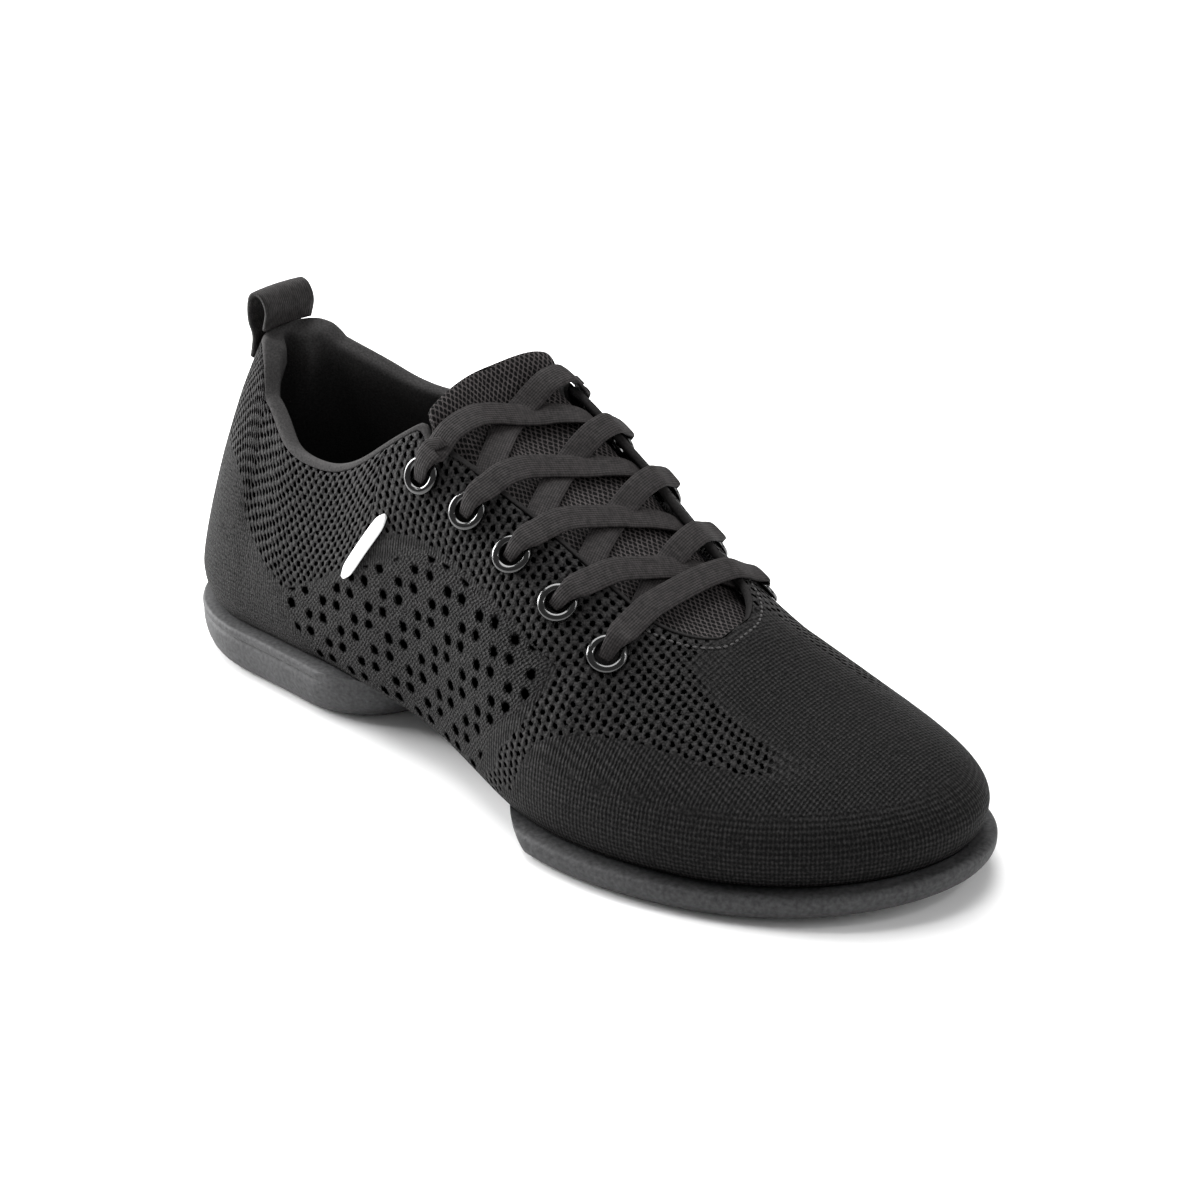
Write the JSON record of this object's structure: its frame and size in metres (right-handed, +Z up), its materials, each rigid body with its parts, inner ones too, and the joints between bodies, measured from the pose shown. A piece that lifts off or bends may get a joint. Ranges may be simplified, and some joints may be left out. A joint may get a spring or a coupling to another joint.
{
  "type": "dance sneaker",
  "caption": "Low knitted lace-up dance sneaker for the right foot, with a split rubber sole, padded collar, mesh tongue and a pull loop at the heel.",
  "frame": {"origin": "on the floor under the middle of the heel's round", "axes": "+X towards the toe, +Y to the inner (big toe) side, +Z up from the floor"},
  "size_m": [0.2666, 0.0997, 0.1094],
  "materials": {
    "knit": "matt knit",
    "rubber": "matt",
    "lining": "smooth cloth over foam",
    "binding": "smooth tape",
    "insole": "cloth",
    "mesh": "open mesh",
    "lace": "woven",
    "webbing": "twill",
    "enamel": "glossy",
    "white_print": "satin"
  },
  "bodies": {
    "root": {"upper": "knit", "heel_sole": "rubber", "forefoot_sole": "rubber", "collar_lining": "lining", "slot_binding": "binding", "insole": "insole", "tongue": "mesh", "lace_bar": "lace", "pull_loop": "webbing", "side_bar": "white_print", "lace_cross_1": "lace", "lace_cross_2": "lace", "lace_cross_3": "lace", "lace_cross_4": "lace", "eyelet_lateral_1": "enamel", "eyelet_lateral_2": "enamel", "eyelet_lateral_3": "enamel", "eyelet_lateral_4": "enamel", "eyelet_lateral_5": "enamel", "eyelet_medial_1": "enamel", "eyelet_medial_2": "enamel", "eyelet_medial_3": "enamel", "eyelet_medial_4": "enamel", "eyelet_medial_5": "enamel"}
  },
  "joints": []
}
